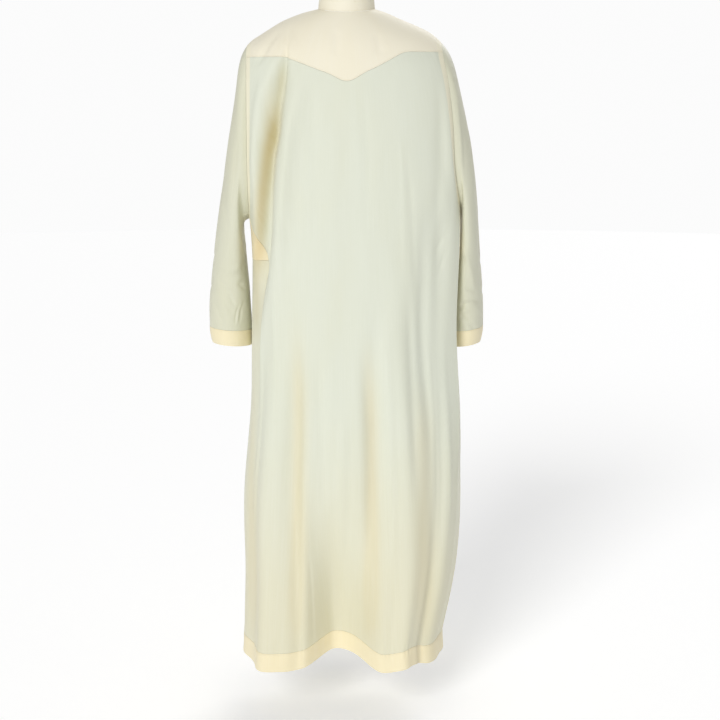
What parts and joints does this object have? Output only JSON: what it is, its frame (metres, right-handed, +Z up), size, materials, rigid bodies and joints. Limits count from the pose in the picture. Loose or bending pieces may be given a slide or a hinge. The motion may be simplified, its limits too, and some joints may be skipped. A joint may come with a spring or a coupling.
{
  "type": "thobe robe",
  "caption": "Ankle-length thobe robe with a band collar, a pointed back yoke, a buttoned front placket, straight sleeves, underarm gussets and a wide turned hem, shaped as worn.",
  "frame": {"origin": "the middle of the shoulder line at the base of the neck, where the wearer's shoulders carry the robe", "axes": "+Z up, towards the collar; -Y towards the front of the robe; +X towards the wearer's left"},
  "size_m": [0.5882, 0.3569, 1.4016],
  "materials": {
    "single_cloth": "smooth light cloth, one layer",
    "doubled_cloth": "the same cloth, doubled",
    "buttons": "pearly"
  },
  "bodies": {
    "root": {"back_panel": "single_cloth", "front_panel": "single_cloth", "side_gore_left": "single_cloth", "side_gore_right": "single_cloth", "sleeve_left": "single_cloth", "sleeve_right": "single_cloth", "yoke": "doubled_cloth", "collar": "doubled_cloth", "placket": "doubled_cloth", "hem_band": "doubled_cloth", "gusset_left": "doubled_cloth", "gusset_right": "doubled_cloth", "cuff_left": "doubled_cloth", "cuff_right": "doubled_cloth", "button_1": "buttons", "button_2": "buttons", "button_3": "buttons", "button_4": "buttons"}
  },
  "joints": []
}
